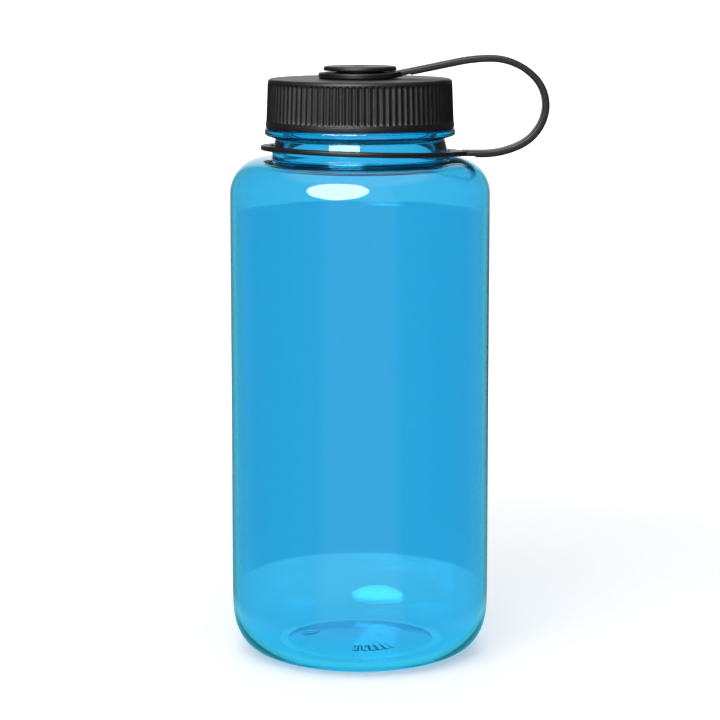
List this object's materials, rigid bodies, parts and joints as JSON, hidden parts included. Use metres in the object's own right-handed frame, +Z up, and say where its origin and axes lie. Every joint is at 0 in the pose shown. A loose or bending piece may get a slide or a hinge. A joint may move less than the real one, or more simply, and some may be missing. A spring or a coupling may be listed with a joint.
{
  "type": "wide-mouth screw-cap bottle",
  "caption": "Clear blue wide-mouth lab bottle with a domed base, a ribbed screw cap and a moulded tether that forms a carry loop.",
  "frame": {"origin": "centre of the round face that the bottle stands on, on the bottle's axis", "axes": "+Z up along the bottle's axis, +X towards the tether's carry loop, -Y the front"},
  "size_m": [0.1088, 0.089, 0.2067],
  "materials": {
    "clear_blue": "clear blue copolyester, smooth and glossy inside and out",
    "cap_black": "black polypropylene, fine satin moulding texture",
    "tether_black": "black flexible polypropylene, satin",
    "seal_white": "translucent white silicone, dull"
  },
  "bodies": {
    "bottle": {"bottle_body": "clear_blue"},
    "tether": {"tether_neck_ring": "tether_black", "tether_strap": "tether_black"},
    "tether_top": {"tether_top_ring": "tether_black"},
    "seal": {"cap_seal": "seal_white"},
    "cap": {"cap_shell": "cap_black", "tether_button": "cap_black"}
  },
  "joints": [
    {"name": "tether_swivel", "type": "hinge", "parent": "bottle", "child": "tether", "pos_m": [0, 0, 0.1745], "axis": [0, 0, 1], "continuous": true},
    {"name": "tether_rise", "type": "slide", "parent": "tether", "child": "tether_top", "axis": [0, 0, 1], "range_m": [0, 0.0063], "deforming": ["tether_strap"]},
    {"name": "cap_lift", "type": "slide", "parent": "bottle", "child": "seal", "axis": [0, 0, 1], "range_m": [0, 0.0063]},
    {"name": "cap_turn", "type": "hinge", "parent": "seal", "child": "cap", "pos_m": [0, 0, 0.1905], "axis": [0, 0, 1], "range_deg": [0, 540]}
  ],
  "couplings": [
    {"joint": "cap_lift", "follows": "cap_turn", "m_per_rad": 0.00066845},
    {"joint": "tether_rise", "follows": "cap_turn", "m_per_rad": 0.00066845}
  ]
}
